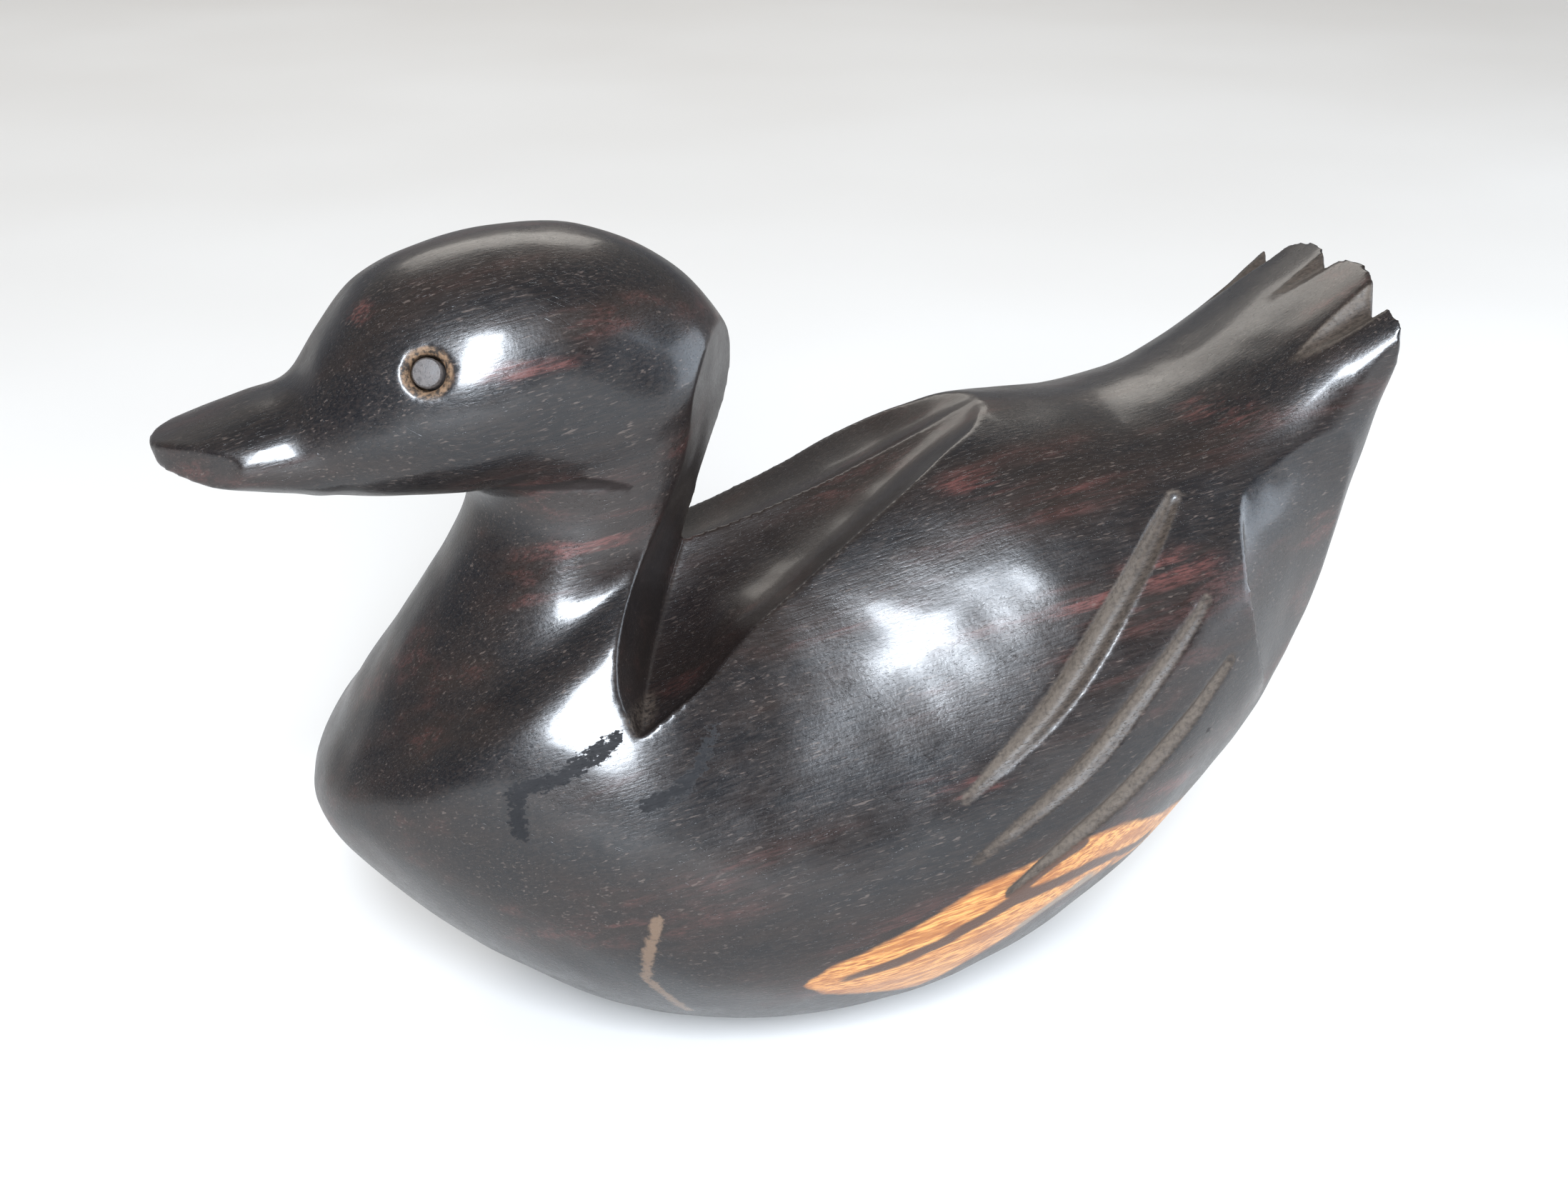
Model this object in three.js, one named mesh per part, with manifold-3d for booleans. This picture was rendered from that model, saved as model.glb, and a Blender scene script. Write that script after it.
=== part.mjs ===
// A duck carved from one block of dark hardwood: fanned tail, folded wings, a hollowed back and a short neck.
// Millimetres, +Z up. The bill points along -X, the tail along +X and the duck's left side is -Y.
// The origin is under the middle of the duck, on the surface that it stands on.

import * as THREE from 'three';
import { mergeVertices } from 'three/addons/utils/BufferGeometryUtils.js';
import Module from 'manifold-3d';

const wasm = await Module();
wasm.setup();

// ---- driving dimensions -------------------------------------------------------------------------

const RING_POINTS = 32; // points round the body at each rung
const RUNG_STEPS = 2; // rings from one rung to the next

// The body is a ladder of rungs from the tail to the tip of the bill. Each rung joins a point on the back
// to a point on the underside: [back x, back z, under x, under z, half width, widest level, squareness above,
// squareness below]. The widest level is a share of the rung from below, and 2 is a true ellipse.
const RUNGS = [
  [83.1, 100.1, 82.7, 91.9, 21.0, 0.38, 1.95, 3],
  [77.9, 96.7, 82.5, 81.1, 20.2, 0.58, 2.2, 2.4],
  [70.7, 92.5, 81.7, 68.1, 20.2, 0.60, 2.4, 2.1],
  [62.7, 88.3, 78.7, 54.3, 22.6, 0.58, 2.2, 2],
  [54.7, 84.7, 73.5, 42.3, 26.4, 0.55, 2.1, 1.95],
  [45.7, 82.9, 65.9, 31.3, 30.4, 0.52, 2, 1.95],
  [36.2, 82.9, 55.9, 21.5, 33.8, 0.48, 1.95, 1.95],
  [25.7, 83.3, 43.5, 11.9, 36.6, 0.44, 1.8, 2],
  [15.7, 82.3, 29.1, 4.1, 38.2, 0.40, 1.68, 2],
  [6.7, 80.3, 13.5, -0.5, 39.0, 0.37, 1.58, 2],
  [-0.8, 78.3, -2.3, -1.8, 39.0, 0.36, 1.53, 2],
  [-6.3, 76.9, -17.9, 0.0, 38.0, 0.36, 1.55, 2],
  [-9.8, 75.7, -32.9, 5.1, 36.0, 0.37, 1.66, 2],
  [-11.8, 75.3, -47.3, 14.3, 33.0, 0.40, 1.8, 2],
  [-12.8, 75.5, -59.0, 25.1, 29.0, 0.42, 1.95, 2],
  [-12.8, 76.3, -66.7, 36.9, 24.6, 0.44, 2, 2],
  [-12.1, 78.7, -62.5, 46.7, 18.6, 0.46, 2, 2],
  [-10.9, 82.1, -55.3, 57.6, 15.9, 0.48, 2, 2],
  [-8.9, 87.1, -47.5, 68.7, 15.0, 0.50, 2, 2],
  [-7.9, 92.7, -43.7, 76.7, 15.6, 0.50, 2, 2.1],
  [-9.1, 98.5, -44.3, 79.9, 17.0, 0.50, 2.1, 2.2],
  [-14.7, 105.3, -47.3, 79.9, 17.8, 0.48, 2.1, 2.2],
  [-24.1, 110.7, -51.3, 80.0, 18.6, 0.46, 2.1, 2.2],
  [-35.3, 112.3, -54.9, 80.2, 18.0, 0.44, 2.1, 2.2],
  [-46.3, 110.9, -58.3, 80.5, 16.2, 0.42, 2.1, 2.2],
  [-54.7, 107.5, -61.1, 80.8, 14.0, 0.38, 2.1, 2.2],
  [-60.7, 101.1, -63.7, 81.1, 12.0, 0.34, 2.1, 2.3],
  [-64.8, 95.5, -66.5, 82.1, 11.2, 0.34, 2.1, 2.4],
  [-70.3, 93.4, -70.5, 83.0, 10.8, 0.36, 2.1, 2.5],
  [-76.8, 91.3, -75.8, 84.2, 10.0, 0.38, 2.2, 2.5],
  [-82.7, 89.3, -81.7, 86.6, 9.0, 0.42, 2.3, 2.5],
];

// The floor of the hollowed back, from the neck to the rump: [x, ridge z, crease y, crease z, sag].
// The ridge runs down the middle, and a crease on each side is where the hollow meets the wing.
const BACK_FLOOR = [
  [-35.3, 71.1, 28.5, 49.6, 3.6],
  [-27.3, 67.6, 26.6, 53.1, 3.9],
  [-19.3, 66.7, 25.2, 57.7, 4.4],
  [-11.6, 68.5, 23.8, 63.0, 4.0],
  [-2.3, 71.0, 20.5, 68.2, 3.4],
  [5.3, 73.6, 18.0, 72.8, 2.7],
  [14.1, 77.1, 13.5, 77.3, 1.7],
  [19.7, 79.6, 10.0, 80.1, 0.9],
  [25.7, 82.3, 7.0, 82.7, 0.3],
  [33.7, 86.1, 5.0, 87.1, 0.0],
];

// The back of the neck is two flat faces that meet in a line down the nape: [z, nape x, face angle].
// The angle is how far each face turns from straight back to straight out.
const NAPE = [
  [33.1, -18.3, 76.0],
  [51.1, -16.9, 68.5],
  [59.1, -15.9, 60.5],
  [68.1, -14.9, 56.5],
  [76.1, -12.3, 56.0],
  [84.1, -9.7, 58.0],
  [92.7, -7.9, 58.0],
  [103.1, -7.5, 62.0],
  [118.1, -7.3, 64.0],
];

// Gouge cuts on each wing, in side view, each from its upper end down: [x, z, tool radius].
const WING_GOUGES = [
  [[47.2, 74.8, 0.8], [37.5, 65.8, 1.7], [25.0, 52.2, 1.8], [12.6, 41.8, 0.5]],
  [[48.8, 62.7, 0.6], [40.0, 54.3, 1.4], [28.0, 43.0, 1.5], [13.8, 33.7, 0.4]],
  [[52.8, 53.7, 0.8], [44.0, 45.2, 1.6], [32.5, 36.6, 1.7], [18.5, 27.9, 0.5]],
];
const GOUGE_LIFT = 0.45; // share of the tool radius that stays above the wood

// Grooves between the tail feathers, from the root out past the end: [x, y, z, tool radius].
const TAIL_GROOVES = [
  [[70.5, 0.0, 94.0, 0.9], [77.0, 0.0, 98.0, 2.1], [86.0, 0.0, 103.6, 3.1]],
  [[67.5, 14.4, 89.6, 1.0], [75.0, 14.3, 94.3, 2.4], [86.0, 14.2, 101.2, 3.3]],
  [[67.5, -14.4, 89.6, 1.0], [75.0, -14.3, 94.3, 2.4], [86.0, -14.2, 101.2, 3.3]],
];

// The end of the tail in plan, from its middle out to a corner: notch, feather, notch, feather.
// Each step is a curve to [x, y] that is pulled towards [x, y].
const TAIL_END_START = [81.2, 0.0];
const TAIL_END_CURVES = [
  { pull: [85.0, 7.0], to: [80.2, 14.2] },
  { pull: [82.4, 18.6], to: [80.8, 22.8] },
];

// The flat on each side under the tail, from the tail down: inner edge, then outer edge, each [x, y, z].
// The inner edge is sunk below the wing, so that the wing ends in a step.
const TAIL_FLAT = [
  { inner: [70.0, 21.6, 88.0], outer: [84.6, 22.6, 92.0] },
  { inner: [58.6, 22.4, 77.6], outer: [82.6, 19.4, 79.6] },
  { inner: [55.8, 26.2, 69.0], outer: [79.0, 17.8, 68.0] },
  { inner: [55.9, 28.2, 60.4], outer: [75.0, 17.8, 58.0] },
  { inner: [58.6, 27.2, 51.6], outer: [71.0, 18.8, 49.0] },
  { inner: [63.6, 24.0, 43.6], outer: [68.0, 20.6, 42.0] },
];
const TAIL_FLAT_REACH = 9; // how far the cutter stands out of the wood
const TAIL_FLAT_STEPS = 12;

// The line of the jaw on each side, from the throat back: [x, z, tool radius].
const JAW_LINE = [[-46.5, 81.0, 0.25], [-39.0, 82.2, 0.3], [-31.0, 82.6, 0.6], [-25.5, 81.6, 0.25]];
const JAW_LIFT = 0.0;

// The bill seen from above ends in a curve between these points, pulled towards the last one.
const BILL_END = { x: -72.7, halfWidth: 10.0, pullX: -92.7 };

// The eyes: a peg in a bored hole, inside a shallow ring that is left raw.
const EYE = { x: -50.2, y: 15.6, z: 99.3, turn: 19, rise: 22 }; // turn towards the bill and up, in degrees
const EYE_RING_RADIUS = 3.0;
const EYE_RING_DEPTH = 0.6;
const EYE_PEG_RADIUS = 1.85;
const EYE_PEG_LENGTH = 5.0;
const EYE_DOME = 0.2; // how far the face of a peg is crowned
const FIT_GAP = 0.3; // round a peg and under it

// ---- solids -------------------------------------------------------------------------------------

const vec = (x, y, z) => new THREE.Vector3(x, y, z);

// A closed mesh from rings of points with the same count, with a flat fan over each end.
function stackRings(rings) {
  const count = rings[0].length;
  const positions = rings.flat().flatMap((p) => [p.x, p.y, p.z]);
  const index = [];
  for (let r = 0; r + 1 < rings.length; r += 1) {
    for (let i = 0; i < count; i += 1) {
      const a = r * count + i;
      const b = r * count + ((i + 1) % count);
      index.push(a, b, b + count, a, b + count, a + count);
    }
  }
  [0, rings.length - 1].forEach((r, end) => {
    const middle = rings[r].reduce((sum, p) => sum.add(p), vec(0, 0, 0)).divideScalar(count);
    const hub = positions.length / 3;
    positions.push(middle.x, middle.y, middle.z);
    for (let i = 0; i < count; i += 1) {
      const a = r * count + i;
      const b = r * count + ((i + 1) % count);
      index.push(...(end === 0 ? [hub, b, a] : [hub, a, b]));
    }
  });
  const geometry = new THREE.BufferGeometry();
  geometry.setAttribute('position', new THREE.Float32BufferAttribute(positions, 3));
  geometry.setIndex(index);
  return geometry;
}

// A geometry as a solid that can be joined and cut, turned the right way out if it needs it.
function solid(geometry) {
  const bare = geometry.clone();
  bare.deleteAttribute('normal');
  bare.deleteAttribute('uv');
  const merged = mergeVertices(bare, 1e-4);
  const triVerts = new Uint32Array(merged.index.array);
  const vertProperties = new Float32Array(merged.attributes.position.array);
  const made = new wasm.Manifold(new wasm.Mesh({ numProp: 3, vertProperties, triVerts }));
  if (made.volume() > 0) return made;
  for (let i = 0; i < triVerts.length; i += 3) [triVerts[i], triVerts[i + 1]] = [triVerts[i + 1], triVerts[i]];
  return new wasm.Manifold(new wasm.Mesh({ numProp: 3, vertProperties, triVerts }));
}

function toGeometry(made) {
  const mesh = made.getMesh();
  const geometry = new THREE.BufferGeometry();
  geometry.setAttribute('position', new THREE.BufferAttribute(new Float32Array(mesh.vertProperties), 3));
  geometry.setIndex(new THREE.BufferAttribute(new Uint32Array(mesh.triVerts), 1));
  return geometry;
}

// Reads a table of rows as smooth curves: at(t) gives the row at t, from 0 at the first to 1 at the last.
function smoothRows(rows) {
  const curves = rows[0].map((_, c) => new THREE.SplineCurve(rows.map((row) => new THREE.Vector2(row[c], 0))));
  return (t) => curves.map((curve) => curve.getPoint(t).x);
}

// ---- the body -----------------------------------------------------------------------------------

// One ring of the body: half a squared ellipse above the widest level and half below it.
function bodyRing([backX, backZ, underX, underZ, halfWidth, level, above, below]) {
  const points = [];
  for (let i = 0; i < RING_POINTS; i += 1) {
    const angle = (2 * Math.PI * i) / RING_POINTS;
    const c = Math.cos(angle);
    const s = Math.sin(angle);
    const power = 2 / (s >= 0 ? above : below);
    const out = halfWidth * Math.sign(c) * Math.abs(c) ** power;
    const up = Math.sign(s) * Math.abs(s) ** power;
    const share = level + up * (s >= 0 ? 1 - level : level);
    points.push(vec(underX + (backX - underX) * share, out, underZ + (backZ - underZ) * share));
  }
  return points;
}

function bodyBlock() {
  const at = smoothRows(RUNGS);
  const steps = (RUNGS.length - 1) * RUNG_STEPS;
  const rings = [];
  for (let i = 0; i <= steps; i += 1) rings.push(bodyRing(at(i / steps)));
  return solid(stackRings(rings));
}

// ---- the hollowed back --------------------------------------------------------------------------

const AIR_TOP = 125; // above the head
const FLOOR_REACH = 48; // out past the sides of the wings
const FLOOR_POINTS = 9; // points from the ridge to a crease
const FLOOR_STEPS = 24; // rings from the neck to the rump
const VALLEY_LEAN = 1.25; // above 1, the bottom of each hollow lies nearer the ridge
const WING_SLOPE = 0.6; // rise of the cut beyond a crease, clear of the wing's edge

// The air over the back: its underside is the floor with its ridge and two hollows.
function airOverBack() {
  const at = smoothRows(BACK_FLOOR);
  const rings = [];
  for (let i = 0; i <= FLOOR_STEPS; i += 1) {
    const [x, ridge, creaseY, creaseZ, sag] = at(i / FLOOR_STEPS);
    const half = [];
    for (let k = 0; k <= FLOOR_POINTS; k += 1) {
      const t = k / FLOOR_POINTS;
      const past = (1 - t) ** VALLEY_LEAN;
      half.push([creaseY * t, ridge + (creaseZ - ridge) * t - 4 * sag * past * (1 - past)]);
    }
    half.push([FLOOR_REACH, creaseZ + (FLOOR_REACH - creaseY) * WING_SLOPE]);
    half.push([FLOOR_REACH, AIR_TOP]);
    const right = half.map(([y, z]) => vec(x, y, z));
    const left = half.slice(1).reverse().map(([y, z]) => vec(x, -y, z));
    rings.push([...left, ...right]);
  }
  return solid(stackRings(rings));
}

const FACE_SPANS = [8, 16, 24, 32, 44]; // distances out along each face of the neck
const NECK_STEPS = 60;
const PAST_THE_BILL = -90;

// The wedge that stays standing as the neck when the air behind it is cut away.
function neckWedge() {
  const at = smoothRows(NAPE);
  const rings = [];
  for (let i = 0; i <= NECK_STEPS; i += 1) {
    const [z, x, degrees] = at(i / NECK_STEPS);
    const angle = THREE.MathUtils.degToRad(degrees);
    const face = FACE_SPANS.map((span) => [x - span * Math.cos(angle), span * Math.sin(angle)]);
    const right = face.map(([px, py]) => vec(px, py, z));
    const left = face.map(([px, py]) => vec(px, -py, z)).reverse();
    const reach = face[face.length - 1][1];
    rings.push([vec(x, 0, z), ...right, vec(PAST_THE_BILL, reach, z), vec(PAST_THE_BILL, -reach, z), ...left]);
  }
  return solid(stackRings(rings));
}

// ---- gouge cuts ---------------------------------------------------------------------------------

const TOOL_SIDES = 10;
const TOOL_STEPS = 14;

// A tapered round tool path through points [x, y, z, radius].
function toolPath(points) {
  const curve = new THREE.CatmullRomCurve3(points.map(([x, y, z]) => vec(x, y, z)));
  const radii = new THREE.SplineCurve(points.map((point) => new THREE.Vector2(point[3], 0)));
  const frames = curve.computeFrenetFrames(TOOL_STEPS);
  const rings = [];
  for (let i = 0; i <= TOOL_STEPS; i += 1) {
    const middle = curve.getPoint(i / TOOL_STEPS);
    const radius = radii.getPoint(i / TOOL_STEPS).x;
    const ring = [];
    for (let k = 0; k < TOOL_SIDES; k += 1) {
      const angle = (2 * Math.PI * k) / TOOL_SIDES;
      const across = frames.normals[i].clone().multiplyScalar(radius * Math.cos(angle));
      const along = frames.binormals[i].clone().multiplyScalar(radius * Math.sin(angle));
      ring.push(middle.clone().add(across).add(along));
    }
    rings.push(ring);
  }
  return solid(stackRings(rings));
}

const WELL_OUTSIDE = 100;

// Where a line straight in from the side meets the wood, at x and z.
function pointOnSide(mesh, x, z, side) {
  const ray = new THREE.Raycaster(vec(x, side * WELL_OUTSIDE, z), vec(0, -side, 0));
  return ray.intersectObject(mesh)[0].point;
}

// A cut laid along the side of the wood, with part of its round tool left standing out.
function sideCut(mesh, points, lift, side) {
  const path = points.map(([x, z, radius]) => {
    const { y } = pointOnSide(mesh, x, z, side);
    return [x, y + side * radius * lift, z, radius];
  });
  return toolPath(path);
}

// ---- flats and ends -----------------------------------------------------------------------------

// The flat under one side of the tail, as the solid that is cut away.
function tailFlat(side) {
  const at = smoothRows(TAIL_FLAT.map(({ inner, outer }) => [...inner, ...outer]));
  const rings = [];
  for (let i = 0; i <= TAIL_FLAT_STEPS; i += 1) {
    const [ix, iy, iz, ox, oy, oz] = at(i / TAIL_FLAT_STEPS);
    const inner = vec(ix, side * iy, iz);
    const outer = vec(ox, side * oy, oz);
    const along = outer.clone().sub(inner).normalize();
    const away = vec(-side * along.y, side * along.x, 0).normalize().multiplyScalar(TAIL_FLAT_REACH);
    const past = outer.clone().addScaledVector(along, TAIL_FLAT_REACH);
    rings.push([inner, outer, past, past.clone().add(away), inner.clone().add(away)]);
  }
  return solid(stackRings(rings));
}

const TAIL_CUT = { low: 86, high: 120, farX: 100 };
const BILL_CUT = { low: 76, high: 100, farX: -95, margin: 5 };

// A plan outline as a solid between two heights.
function standUp(shape, { low, high }) {
  const options = { depth: high - low, bevelEnabled: false, curveSegments: 8 };
  const geometry = new THREE.ExtrudeGeometry(shape, options);
  return solid(geometry.translate(0, 0, low));
}

// What lies past the feather ends.
function pastTail() {
  const { pull: inPull, to: inTo } = TAIL_END_CURVES[0];
  const { pull: outPull, to: outTo } = TAIL_END_CURVES[1];
  const shape = new THREE.Shape();
  shape.moveTo(outTo[0], -outTo[1]);
  shape.quadraticCurveTo(outPull[0], -outPull[1], inTo[0], -inTo[1]);
  shape.quadraticCurveTo(inPull[0], -inPull[1], TAIL_END_START[0], TAIL_END_START[1]);
  shape.quadraticCurveTo(inPull[0], inPull[1], inTo[0], inTo[1]);
  shape.quadraticCurveTo(outPull[0], outPull[1], outTo[0], outTo[1]);
  shape.lineTo(TAIL_CUT.farX, outTo[1]);
  shape.lineTo(TAIL_CUT.farX, -outTo[1]);
  shape.closePath();
  return standUp(shape, TAIL_CUT);
}

// What lies past the end of the bill.
function pastBill() {
  const wide = BILL_END.halfWidth + BILL_CUT.margin;
  const shape = new THREE.Shape();
  shape.moveTo(BILL_END.x, -BILL_END.halfWidth);
  shape.quadraticCurveTo(BILL_END.pullX, 0, BILL_END.x, BILL_END.halfWidth);
  shape.lineTo(BILL_END.x, wide);
  shape.lineTo(BILL_CUT.farX, wide);
  shape.lineTo(BILL_CUT.farX, -wide);
  shape.lineTo(BILL_END.x, -wide);
  shape.closePath();
  return standUp(shape, BILL_CUT);
}

// ---- the eyes -----------------------------------------------------------------------------------

// Turns a shape made round +Y so that +Y points straight out of the head at one eye, and moves it there.
function atEye(geometry, side) {
  const turn = THREE.MathUtils.degToRad(EYE.turn);
  const rise = THREE.MathUtils.degToRad(EYE.rise);
  const out = vec(-Math.sin(turn) * Math.cos(rise), side * Math.cos(turn) * Math.cos(rise), Math.sin(rise));
  const turned = geometry.clone().applyQuaternion(new THREE.Quaternion().setFromUnitVectors(vec(0, 1, 0), out));
  return turned.translate(EYE.x, side * EYE.y, EYE.z);
}

const LATHE_SEGMENTS = 24;
const BORE_MOUTH = 3; // how far the bore's cutter stands out of the wood

// A shape turned round +Y from a profile of [radius, height].
function lathe(profile) {
  return new THREE.LatheGeometry(profile.map(([r, h]) => new THREE.Vector2(r, h)), LATHE_SEGMENTS);
}

const eyeBore = lathe([
  [0, -EYE_PEG_LENGTH - FIT_GAP],
  [EYE_PEG_RADIUS + FIT_GAP, -EYE_PEG_LENGTH - FIT_GAP],
  [EYE_PEG_RADIUS + FIT_GAP, -EYE_RING_DEPTH],
  [EYE_RING_RADIUS, -EYE_RING_DEPTH],
  [EYE_RING_RADIUS, BORE_MOUTH],
  [0, BORE_MOUTH],
]);

const eyePeg = lathe([
  [0, -EYE_PEG_LENGTH],
  [EYE_PEG_RADIUS, -EYE_PEG_LENGTH],
  [EYE_PEG_RADIUS, -EYE_DOME],
  [EYE_PEG_RADIUS * 0.6, -EYE_DOME * 0.3],
  [0, 0],
]);

// ---- the carving --------------------------------------------------------------------------------

const SIDES = [-1, 1]; // left, right

// What is planed off to make the flat base.
function underBase() {
  const [length, width, depth] = [200, 120, 20];
  return solid(new THREE.BoxGeometry(length, width, depth).translate(0, 0, -depth / 2));
}

let carving = bodyBlock();
const blockMesh = new THREE.Mesh(toGeometry(carving), new THREE.MeshBasicMaterial({ side: THREE.DoubleSide }));

const cuts = [
  airOverBack().subtract(neckWedge()),
  pastTail(),
  pastBill(),
  ...TAIL_GROOVES.map((groove) => toolPath(groove)),
  ...SIDES.flatMap((side) => [
    tailFlat(side),
    ...WING_GOUGES.map((gouge) => sideCut(blockMesh, gouge, GOUGE_LIFT, side)),
    sideCut(blockMesh, JAW_LINE, JAW_LIFT, side),
    solid(atEye(eyeBore, side)),
  ]),
  underBase(),
];
cuts.forEach((cut) => {
  carving = carving.subtract(cut);
});

// ---- the finished pieces ------------------------------------------------------------------------

const darkWood = new THREE.MeshStandardMaterial({ color: 0x1d191a, roughness: 0.3, metalness: 0 });
const pegWood = new THREE.MeshStandardMaterial({ color: 0x3a3536, roughness: 0.4, metalness: 0 });

const duck = new THREE.Group();

function addPiece(name, geometry, material) {
  geometry.computeVertexNormals();
  const mesh = new THREE.Mesh(geometry, material);
  mesh.name = name;
  duck.add(mesh);
}

addPiece('duck_carving', toGeometry(carving), darkWood);
addPiece('eye_peg_left', atEye(eyePeg, -1), pegWood);
addPiece('eye_peg_right', atEye(eyePeg, 1), pegWood);

export default duck;
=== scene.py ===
# %% [markdown]
# # A duck carved from dark hardwood
# The real duck is one block of very dark, oily wood. Somebody roughed it out with an adze, cut the back and
# the feathers with gouges, rubbed the outside to a soft shine and left the gouge marks raw. Only the two eye
# pegs are separate pieces. This notebook builds it in the same order: block, cuts, rubbing down, finish.
# The design is already fixed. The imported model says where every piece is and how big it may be, so it is
# loaded first and nothing after it moves or resizes a part.

# %% Load the fixed design
import math

import bmesh
import bpy
import numpy as np
from mathutils import Matrix, Vector
from mathutils.bvhtree import BVHTree


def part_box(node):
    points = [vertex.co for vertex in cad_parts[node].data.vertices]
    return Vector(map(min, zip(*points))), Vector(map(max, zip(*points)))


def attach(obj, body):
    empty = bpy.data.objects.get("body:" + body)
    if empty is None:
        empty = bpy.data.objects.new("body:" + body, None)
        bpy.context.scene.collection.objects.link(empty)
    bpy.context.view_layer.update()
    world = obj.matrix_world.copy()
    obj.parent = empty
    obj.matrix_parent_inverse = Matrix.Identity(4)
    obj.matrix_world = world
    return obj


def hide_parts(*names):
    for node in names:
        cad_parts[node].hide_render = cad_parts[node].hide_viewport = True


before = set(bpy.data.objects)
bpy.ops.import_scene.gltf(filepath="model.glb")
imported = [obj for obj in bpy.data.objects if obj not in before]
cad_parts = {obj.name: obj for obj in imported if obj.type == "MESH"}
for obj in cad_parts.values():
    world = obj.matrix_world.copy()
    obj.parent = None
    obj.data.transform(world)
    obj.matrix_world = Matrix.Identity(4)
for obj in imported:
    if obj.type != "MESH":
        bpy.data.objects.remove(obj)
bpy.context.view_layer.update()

MM = 0.001

duck_low, duck_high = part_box("duck_carving")
print("nodes:", sorted(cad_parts))
print("duck, mm:", [round((b - a) / MM, 1) for a, b in zip(duck_low, duck_high)])

# %% [markdown]
# ## Camera
# The camera comes first, so that every later step can be looked at from the same place. A small carving is
# looked at from close by, so the lens is set by its angle and the distance is short. Standing to the left of
# the bill and above it shows the face, the side and the hollow back together.

# %% Set the camera
AIM = Vector((-0.3, 0.0, 56.6)) * MM
VIEW_AZIMUTH = math.radians(-18.0)
VIEW_ELEVATION = math.radians(23.5)
VIEW_DISTANCE = 301.5 * MM
VIEW_ANGLE = math.radians(40.0)


def direction(azimuth, elevation):
    """The unit vector from the duck towards a place round it: azimuth 0 is the duck's left side."""
    level = math.cos(elevation)
    return Vector((math.sin(azimuth) * level, -math.cos(azimuth) * level, math.sin(elevation)))


def point_at(thing, place, target):
    thing.location = place
    thing.rotation_mode = "QUATERNION"
    thing.rotation_quaternion = (target - place).to_track_quat("-Z", "Y")


def link(thing):
    bpy.context.scene.collection.objects.link(thing)
    return thing


lens = bpy.data.cameras.new("bench_camera")
lens.sensor_width = 36.0
lens.angle = VIEW_ANGLE
lens.clip_start = 0.01
lens.clip_end = 20.0
camera = link(bpy.data.objects.new("bench_camera", lens))
point_at(camera, AIM + direction(VIEW_AZIMUTH, VIEW_ELEVATION) * VIEW_DISTANCE, AIM)
bpy.context.scene.camera = camera
print("camera at, mm:", [round(c / MM, 1) for c in camera.location])

# %% [markdown]
# ## From tables to surfaces
# A carver thinks in sections: how wide and how full the body is here, and a little further on. A short table
# of sections with a smooth curve through every column gives the same thing. Sculpting by hand would also
# work, but a table can be read, corrected and run again.

# %% Smooth curves through a table


def smooth_rows(rows, shares):
    """Reads a table of rows as smooth curves: share 0 gives the first row and share 1 the last."""
    table = np.array(rows, float)
    last = len(table) - 1
    place = np.clip(np.asarray(shares, float), 0, 1) * last
    index = np.minimum(place.astype(int), last - 1)
    w = (place - index)[:, None]
    before = table[np.maximum(index - 1, 0)]
    here = table[index]
    there = table[index + 1]
    after = table[np.minimum(index + 2, last)]
    slope_here = (there - before) / 2
    slope_there = (after - here) / 2
    cubic = 2 * (here - there) + slope_here + slope_there
    square = 3 * (there - here) - 2 * slope_here - slope_there
    return ((cubic * w + square) * w + slope_here) * w + here


def stack_rings(name, rings):
    """A closed mesh from rings of points in millimetres: quads along it and a flat face over each end."""
    rings = np.asarray(rings, float)
    steps, count, _ = rings.shape
    one = np.arange(count)
    two = (one + 1) % count
    starts = (np.arange(steps - 1) * count)[:, None]
    sides = np.stack([starts + one, starts + two, starts + two + count, starts + one + count], -1)
    faces = sides.reshape(-1, 4).tolist()
    faces.append(one[::-1].tolist())
    faces.append((one + (steps - 1) * count).tolist())
    mesh = bpy.data.meshes.new(name)
    mesh.from_pydata((rings.reshape(-1, 3) * MM).tolist(), [], faces)
    return close_up(link(bpy.data.objects.new(name, mesh)))


def close_up(thing):
    """Merges doubled points, cuts faces into triangles and turns them all outwards."""
    work = bmesh.new()
    work.from_mesh(thing.data)
    bmesh.ops.remove_doubles(work, verts=work.verts, dist=1e-7)
    bmesh.ops.triangulate(work, faces=work.faces)
    bmesh.ops.recalc_face_normals(work, faces=work.faces)
    if work.calc_volume(signed=True) < 0:
        bmesh.ops.reverse_faces(work, faces=work.faces)
    work.to_mesh(thing.data)
    work.free()
    return thing


# %% [markdown]
# ## The block
# The body is a ladder of rungs from the tail, down round the belly, up the breast and out along the bill.
# Each rung joins a point on the back to a point underneath, and a squared ellipse on it gives the section.
# Leaning the rungs with the bird keeps the sections square to its flow where it bends up into the neck.

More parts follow.
